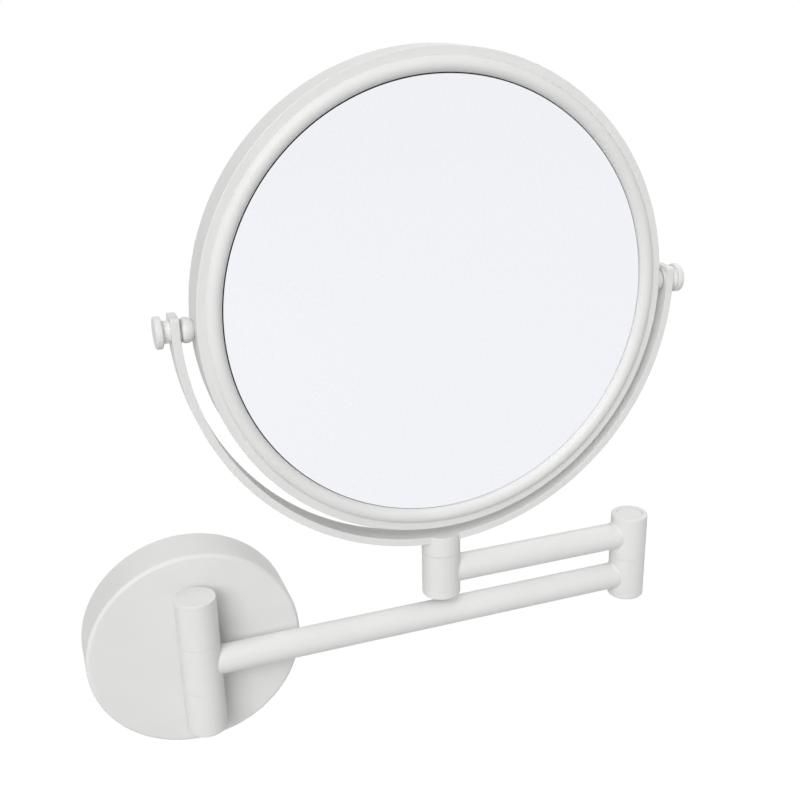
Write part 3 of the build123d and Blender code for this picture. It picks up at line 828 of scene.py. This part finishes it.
@dataclass
class Fork:
    """The bent bar that holds the mirror, and the hub under it. Sizes in millimetres.

    Args:
        thickness, edge: thickness of the bar, and rounding of its long edges.
        corner, corner_rows: rounding of its ends in plan, and the rows that it takes.
        rise, foot: height of its ends and of its lowest straight row over the tilt axis.
        hold: how far below a corner the next row lies.
        bend_rows: rows along the half circle.
        hub_rim, hub_edge: how far the hub's rim stands down, and rounding of its top edge.
        hub_rows, air: radii of the rows on the hub's top, and its gap to the bar.
    """

    thickness: float = 3.4
    edge: float = 0.2
    corner: float = 1.5
    corner_rows: int = 9
    rise: float = 5.3
    foot: float = 2.0
    hold: float = 0.4
    bend_rows: int = 161
    hub_rim: float = 0.06
    hub_edge: float = 0.3
    hub_rows: tuple[float, float] = (6.0, 3.0)
    air: float = 0.05

    def build(self) -> None:
        """Carries the bar's section along its path and turns the hub."""
        place("fork_bar", "fork", "yoke", self.bar())
        place("fork_hub", "fork", "yoke_hub", self.hub())

    def bar(self) -> Skin:
        """A rounded bar carried along a straight, a half circle and a straight.

        The section's half width narrows to corner - sqrt(corner^2 - s^2) within a corner's
        reach of each end, which rounds the bar's ends in plan.

        Returns:
            The bar's surface.
        """
        outer, half, _ = half_size("yoke")
        radius = outer - self.thickness / 2
        turn = np.linspace(math.pi, 2 * math.pi, self.bend_rows)
        quarter = np.linspace(0, math.pi / 2, self.corner_rows)
        ends = self.rise - self.corner * (1 - np.cos(quarter))
        straight = np.concatenate([ends, [self.rise - self.corner - self.hold, self.foot]])
        inset = np.zeros_like(straight)
        near = straight > self.rise - self.corner
        inset[near] = self.corner - np.sqrt(np.maximum(
            self.corner ** 2 - (straight[near] - self.rise + self.corner) ** 2, 0))
        spoke = np.stack([np.cos(turn), np.sin(turn)], 1)
        along = np.concatenate([
            np.stack([np.full_like(straight, -radius), straight], 1), radius * spoke,
            np.stack([np.full_like(straight, radius), straight[::-1]], 1)])
        out = np.concatenate([np.tile([-1.0, 0.0], (len(straight), 1)), spoke,
                              np.tile([1.0, 0.0], (len(straight), 1))])
        narrow = np.concatenate([inset, np.zeros(len(turn)), inset[::-1]])
        thick = self.thickness / 2
        section = rounded([(-thick, -half), (thick, -half), (thick, half), (-thick, half)],
                          self.edge, steps=5)
        y = section[:, 1] * (1 - narrow / half)[:, None]
        xz = along[:, None] + section[:, :1] * out[:, None]
        grid = np.stack([xz[..., 0], y, xz[..., 1]], -1) + middle("frame_band")
        cap = [np.broadcast_to(row.mean(0), row.shape)[None] for row in (grid[0], grid[-1])]
        return Skin(np.concatenate([cap[0], grid, cap[1]]) * MM)

    def hub(self) -> Skin:
        """A drum whose top follows the inside of the bar, a hair below it.

        The top's height is centre - sqrt(inner^2 - x^2) at each point.

        Returns:
            The hub's surface.
        """
        centre, foot = middle("frame_band"), box_mm("yoke_hub")[0][2]
        inner = half_size("yoke")[0] - self.thickness
        tall = 10            # of the outline; each column of it is then stretched to the bar
        outline = rounded([(0, 0), (WASHER_SEAT, 0), (WASHER_SEAT, -self.hub_rim),
                           (BARREL_RADIUS, -self.hub_rim), (BARREL_RADIUS, tall), (0, tall)],
                          [0, 0, 0, self.hub_rim, self.hub_edge, 0], closed=False)
        rows = [(radius, tall) for radius in self.hub_rows]
        outline = np.concatenate([outline[:-1], rows, outline[-1:]])
        turn = angles(BARREL)
        x, y = outline[:, :1] * np.cos(turn), outline[:, :1] * np.sin(turn)
        top = centre[2] - np.sqrt(inner ** 2 - x ** 2) - self.air
        z = foot + (top - foot) * outline[:, 1:] / tall
        return Skin(np.stack([x + centre[0], y + centre[1], z], -1) * MM)


@dataclass
class Pivots:
    """Collars and knobs on the tilt axis, which turn with the mirror. Sizes in millimetres.

    Args:
        crown, hold: rounding of the collar's face, and length of the flat behind it.
        tip, reach_in: radius of its narrow end, and how far that reaches into the frame.
        dome_rows: rows along the arc between them.
        neck, root, flare: radius of the knob's neck, and rounding at its foot and its head.
        disc, edge: thickness of the knob's disc, and rounding of its edges.
        air: gap to the fork on each side of it.
    """

    crown: float = 1.9
    tip: float = 3.0
    reach_in: float = 0.2
    hold: float = 0.1
    dome_rows: int = 16
    neck: float = 4.55
    root: float = 0.05
    disc: float = 3.0
    edge: float = 0.8
    flare: float = 1.1
    air: float = 0.03

    def build(self) -> None:
        """Turns a collar and a knob about the tilt axis on each side."""
        centre = middle("pivot_stud_left") * [0, 1, 1] + middle("frame_band") * [1, 0, 0]
        for side, way in (("left", Way.LEFT), ("right", Way.RIGHT)):
            for name, outline in (("collar", self.collar(side)), ("knob", self.knob(side))):
                place(f"{name}_{side}", "mirror", f"pivot_{name}_{side}",
                      turned(outline, centre * MM, way, KNOB))

    @staticmethod
    def reach(node: str) -> tuple[float, float, float]:
        """A pivot part's nearest and furthest distance from the middle, and its radius."""
        near, far = sorted(abs(c[0] - middle("frame_band")[0]) for c in box_mm(node))
        return near, far, half_size(node)[2]

    def collar(self, side: str) -> Array:
        """A rounded face, then an arc that narrows towards the frame."""
        near, far, radius = self.reach(f"pivot_collar_{side}")
        far -= self.air
        land = far - self.crown
        drop, run = radius - self.tip, land - near
        bend = (drop ** 2 + run ** 2) / (2 * drop)
        sweep = np.linspace(0, math.asin(run / bend), self.dome_rows)
        dome = np.stack([radius - bend * (1 - np.cos(sweep)), land - bend * np.sin(sweep)], 1)
        face = rounded([(0, far), (radius, far), (radius, land - self.hold)],
                       [0, self.crown, 0], closed=False)
        end = near - self.reach_in
        return np.concatenate([face, dome[1:], [[self.tip, end], [0, end]]])

    def knob(self, side: str) -> Array:
        """A neck that flares into a rounded disc."""
        near, far, radius = self.reach(f"pivot_knob_{side}")
        near += self.air
        back = far - self.disc
        return rounded([(0, near), (self.neck, near), (self.neck, back), (radius, back),
                        (radius, far), (0, far)],
                       [0, self.root, self.flare, self.edge, self.edge, 0], closed=False)


@dataclass
class MirrorHead:
    """Band, bead rings and glasses of the two-sided mirror. Sizes in millimetres.

    Args:
        band_wall: thickness of the band.
        flange, flange_thickness: width and thickness of its flanges.
        bevel, lip_bevel: rounding of its outer edges, and of the flanges' lips.
        bead_inner, bead_rise: radius of the bead's edge on the glass, and height of its crown.
        bead_rows: rows along the crown.
        bead_foot: how far its outer edge lies below the flange's face.
        skirt_thickness, skirt_run: thickness of its skirt, and distance of the skirt's bore
            from the bead's inner edge.
        glass_sink, glass_thick: depth of the glass below the flange's face, and thickness.
        rim_run, rim_drop, rim_edge: width and fall of the glass's ground slope, and rounding
            of its outer edges.
        painted_shade_shift: how far the polished face sits off the middle, to the lower right,
            which widens the dark rim of painted shade at the upper left.
        curve, dish_thick, dish_rows: radius, thickness and rows of the magnifying glass.
    """

    band_wall: float = 1.4
    flange: float = 3.7
    flange_thickness: float = 1.2
    bevel: float = 0.35
    lip_bevel: float = 0.05
    bead_inner: float = 94.75
    bead_rise: float = 3.19
    bead_rows: int = 36
    bead_foot: float = 0.02
    skirt_thickness: float = 1.3
    skirt_run: float = 4.7
    glass_sink: float = 0.8
    glass_thick: float = 3.0
    rim_run: float = 0.35
    rim_drop: float = 1.2
    rim_edge: float = 0.3
    painted_shade_shift: float = 0.25
    curve: float = 1000.0
    dish_thick: float = 2.0
    dish_rows: int = 25

    def build(self) -> None:
        """Turns every ring and glass about the mirror's own axis."""
        centre = middle("frame_band") * MM
        _, depth, radius = half_size("frame_band")
        channel, bead = self.channel(radius, depth), self.bead(radius, depth)
        for name, outline, way, node in (
                ("frame_channel", channel, Way.OUT, "frame_band"),
                ("bead_front", bead, Way.OUT, "bead_ring_front"),
                ("bead_rear", bead, Way.BACK, "bead_ring_rear")):
            place(name, "mirror", node, turned(outline, centre, way, ROUND * 2, ring=True))
        face = depth - self.glass_sink
        for name, outline, way, finish, node in (
                ("flat_glass", self.flat_glass(face), Way.OUT, SILVER, "front"),
                ("flat_glass_rim_painted_shade", self.ground_rim(face), Way.OUT, RIM_PAINTED_SHADE, "front"),
                ("magnifying_glass", self.dished_glass(face), Way.BACK, SILVER, "rear")):
            skin = turned(outline, centre, way, ROUND, ring=finish is RIM_PAINTED_SHADE)
            # Shifting the polished face to the lower right widens the dark rim of painted shade
            # at the upper left.
            if way is Way.OUT:
                polished = outline[:, 0] < self.bead_inner - self.rim_run / 2
                skin.points[polished] += np.array([1, 0, -1]) * self.painted_shade_shift * MM / math.sqrt(2)
            place(name, "mirror", f"mirror_glass_{node}", skin, finish=finish)

    def channel(self, radius: float, depth: float) -> Array:
        """The band's section: a wall with a flange at each side."""
        lip, wall = radius - self.flange, radius - self.band_wall
        thin = depth - self.flange_thickness
        return rounded(
            [(radius, -depth), (radius, depth), (lip, depth), (lip, thin), (wall, thin),
             (wall, -thin), (lip, -thin), (lip, -depth)],
            [self.bevel, self.bevel, self.lip_bevel, 0, 0, 0, 0, self.lip_bevel], steps=5)

    def bead(self, radius: float, depth: float) -> Array:
        """The bead's section: an arc over the glass, and a skirt under the flange."""
        outer, inner = radius - self.flange, self.bead_inner
        skirt, glass = depth - self.flange_thickness, depth - self.glass_sink
        crown = arc_through((inner, glass), ((inner + outer) / 2, glass + self.bead_rise),
                            (outer, depth - self.bead_foot), self.bead_rows)
        wall, bore = radius - self.band_wall, inner + self.skirt_run
        under = skirt - self.skirt_thickness
        rest = [(outer, skirt), (wall, skirt), (wall, under), (bore, under),
                (bore, glass - self.rim_drop), (inner, glass - self.rim_drop)]
        return np.concatenate([crown, rest])

    def flat_glass(self, face: float) -> Array:
        """The silvered disc, as far as its polished face goes."""
        radius = self.bead_inner - self.rim_run
        return np.array([(0, face - self.glass_thick), (radius, face - self.glass_thick),
                         (radius, face), (0, face)])

    def ground_rim(self, face: float) -> Array:
        """The disc's rim: a ground slope down to the bead's foot, and the land under it."""
        radius, inner = half_size("mirror_glass_front")[2], self.bead_inner
        foot, back = face - self.rim_drop, face - self.glass_thick
        return rounded([(inner - self.rim_run, back), (radius, back), (radius, foot),
                        (inner, foot), (inner - self.rim_run, face)],
                       [0, self.rim_edge, self.rim_edge, 0, 0])

    def dished_glass(self, depth: float) -> Array:
        """A dished disc: its face is depth - (sag at the edge - sag at the radius)."""
        r = np.linspace(0, half_size("mirror_glass_rear")[2], self.dish_rows)
        sag = self.curve - np.sqrt(self.curve ** 2 - r ** 2)
        face = depth - sag[-1] + sag
        front = np.stack([r, face], 1)
        return np.concatenate([front, front[::-1] - [0, self.dish_thick]])


# --- room and camera ---


@dataclass(frozen=True)
class Lamp:
    """A square soft lamp that faces the object from far enough to light it evenly.

    Args:
        name: the lamp's name.
        azimuth, elevation: degrees to the right of straight ahead, and above the level.
        size, power: side of the square in metres, and watts.
        distance: from the lamp to the object, in metres.
    """

    name: str
    azimuth: float
    elevation: float
    size: float
    power: float
    distance: float = 3.2

    def build(self, target: Vector) -> None:
        """Makes the lamp and turns it to the target."""
        a, e = math.radians(self.azimuth), math.radians(self.elevation)
        away = Vector((math.sin(a) * math.cos(e), -math.cos(a) * math.cos(e), math.sin(e)))
        data = bpy.data.lights.new(self.name, "AREA")
        data.shape, data.size, data.energy = "SQUARE", self.size, self.power
        lamp = linked(self.name, data)
        lamp.location = target + away * self.distance
        lamp.rotation_euler = (-away).to_track_quat("-Z", "Y").to_euler()


@dataclass
class Studio:
    """A pale floor, an even sky and soft lamps, the key to the upper left of the view.

    Args:
        floor_z, floor_radius, floor_thick: height and size of the floor, in metres.
        floor_rings, floor_steps: its rows, closer together near the middle, and its columns.
        floor_light, floor_seen: its colour as light, and to the eye before its glow is added.
        glow_near, glow_far: distance in metres and strength where the glow's rise starts
            and ends.
        sky: strength of the sky as light.
        target, lamps: the lamps, and the point that they face.
    """

    floor_z: float = -0.55
    floor_radius: float = 14.0
    floor_thick: float = 0.02
    floor_rings: int = 9
    floor_steps: int = 64
    floor_light: str = "#C8C8C8"
    floor_seen: str = "#525252"
    glow_near: tuple[float, float] = (1.5, 0.95)
    glow_far: tuple[float, float] = (4.0, 0.985)
    sky: float = 0.28
    target: tuple[float, float, float] = (0.1, 0.0, 0.1)
    lamps: tuple[Lamp, ...] = (
        Lamp("key", -32, 28, 1.8, 64.0),
        Lamp("upper", -30, 58, 1.6, 16.0),
        Lamp("right", 75, 14, 1.6, 10.4),
        Lamp("back right", 130, 42, 1.6, 28.0),
    )

    def build(self) -> None:
        """Makes floor, sky and lamps."""
        self.floor()
        self.world()
        for lamp in self.lamps:
            lamp.build(Vector(self.target))

    @staticmethod
    def split(tree: Tree, end: str, light: Node, seen: Node) -> None:
        """Lights with one shader, and shows the other.

        It is shown to the eye, and in reflections and glass that the eye looks into.

        Args:
            tree: the node tree.
            end: the kind of its output node.
            light, seen: the two shaders.
        """
        path = add(tree, "LightPath").outputs
        eye = add(tree, "Math", {0: path["Is Camera Ray"], 1: path["Is Glossy Ray"]},
                  operation="MAXIMUM")
        eye = add(tree, "Math", {0: eye, 1: path["Is Transmission Ray"]}, operation="MAXIMUM")
        eye = add(tree, "Math", {0: eye, 1: path["Diffuse Depth"]}, operation="SUBTRACT",
                  use_clamp=True)
        add(tree, end, {"Surface": add(tree, "MixShader", {0: eye, 1: light, 2: seen})})

    def floor(self) -> None:
        """A wide disc that shows near white and keeps a soft shadow; its own light stays grey.

        Its glow rises a little with the distance, where the lamps no longer reach.
        """
        grid = np.linspace(0, 1, self.floor_rings)[:, None] ** 2 * self.floor_radius
        turn = angles(self.floor_steps)
        points = np.stack([grid * np.cos(turn), grid * np.sin(turn),
                           np.full((self.floor_rings, self.floor_steps), self.floor_z)], -1)
        under = points[::-1] - np.array([0, 0, self.floor_thick])
        disc = mesh_of("studio_floor", [Skin(np.concatenate([points, under]))])
        material = bpy.data.materials.new("studio floor")
        tree = bare_tree(material)
        plain = add(tree, "BsdfDiffuse", {"Color": linear(self.floor_light)})
        dim = add(tree, "BsdfDiffuse", {"Color": linear(self.floor_seen)})
        where = add(tree, "TexCoord").outputs["Object"]
        away = add(tree, "VectorMath", {0: where}, operation="LENGTH").outputs["Value"]
        (near, weak), (far, strong) = self.glow_near, self.glow_far
        rise = add(tree, "MapRange", {"Value": away, "From Min": near, "From Max": far,
                                      "To Min": weak, "To Max": strong})
        glow = add(tree, "Emission", {"Color": WHITE, "Strength": rise})
        bright = add(tree, "AddShader", {0: dim, 1: glow})
        self.split(tree, "OutputMaterial", plain, bright)
        disc.data.materials.append(material)

    def world(self) -> None:
        """A white sky to the eye and in reflections, and a softer one as light."""
        world = bpy.data.worlds.new("studio")
        tree = bare_tree(world)
        white = add(tree, "Background", {"Color": WHITE})
        light = add(tree, "Background", {"Color": WHITE, "Strength": self.sky})
        self.split(tree, "OutputWorld", light, white)
        bpy.context.scene.world = world


@dataclass
class Camera:
    """The view onto the folded mirror from the upper left.

    Args:
        place_mm: where it stands.
        yaw, pitch, roll: turn to the left, upwards and about the view, in degrees.
        focal: focal length in picture widths.
        centre: where the lens axis meets the picture, in shares of its side from the middle.
        sensor: width of the sensor, in millimetres.
        clip: nearest and furthest distance that it sees, in metres.
    """

    place_mm: tuple[float, float, float] = (-52.78, -469.2, 281.27)
    yaw: float = -22.552
    pitch: float = -21.376
    roll: float = -0.044
    focal: float = 1.38926
    centre: tuple[float, float] = (0.08306, 0.02640)
    sensor: float = 36.0
    clip: tuple[float, float] = (0.02, 60.0)

    def build(self) -> None:
        """Makes the camera from its axes: right, up and backwards."""
        y, p, r = np.radians([self.yaw, self.pitch, self.roll])
        ahead = np.array([-math.sin(y) * math.cos(p), math.cos(y) * math.cos(p), math.sin(p)])
        right = np.array([math.cos(y), math.sin(y), 0.0])
        down = np.cross(ahead, right)
        right, down = (math.cos(r) * right + math.sin(r) * down,
                       -math.sin(r) * right + math.cos(r) * down)
        data = bpy.data.cameras.new("view")
        data.sensor_width = self.sensor
        data.lens = self.sensor * self.focal
        data.shift_x, data.shift_y = -self.centre[0], self.centre[1]
        data.clip_start, data.clip_end = self.clip
        camera = linked("view", data)
        turn = Matrix(np.stack([right, -down, -ahead], 1).tolist())
        camera.matrix_world = Matrix.Translation(Vector(self.place_mm) * MM) @ turn.to_4x4()
        bpy.context.scene.camera = camera


def main() -> None:
    """Builds room, camera and every sub-assembly."""
    bpy.context.scene.view_settings.view_transform = "Standard"
    Camera().build()
    Studio().build()
    dress_frame()
    for assembly in (Rosette(), Column(), LowerArm(), UpperArm(), Fork(), Pivots(),
                     MirrorHead()):
        assembly.build()
        log.info("%s is dressed", type(assembly).__name__)


if __name__ == "__main__":
    main()
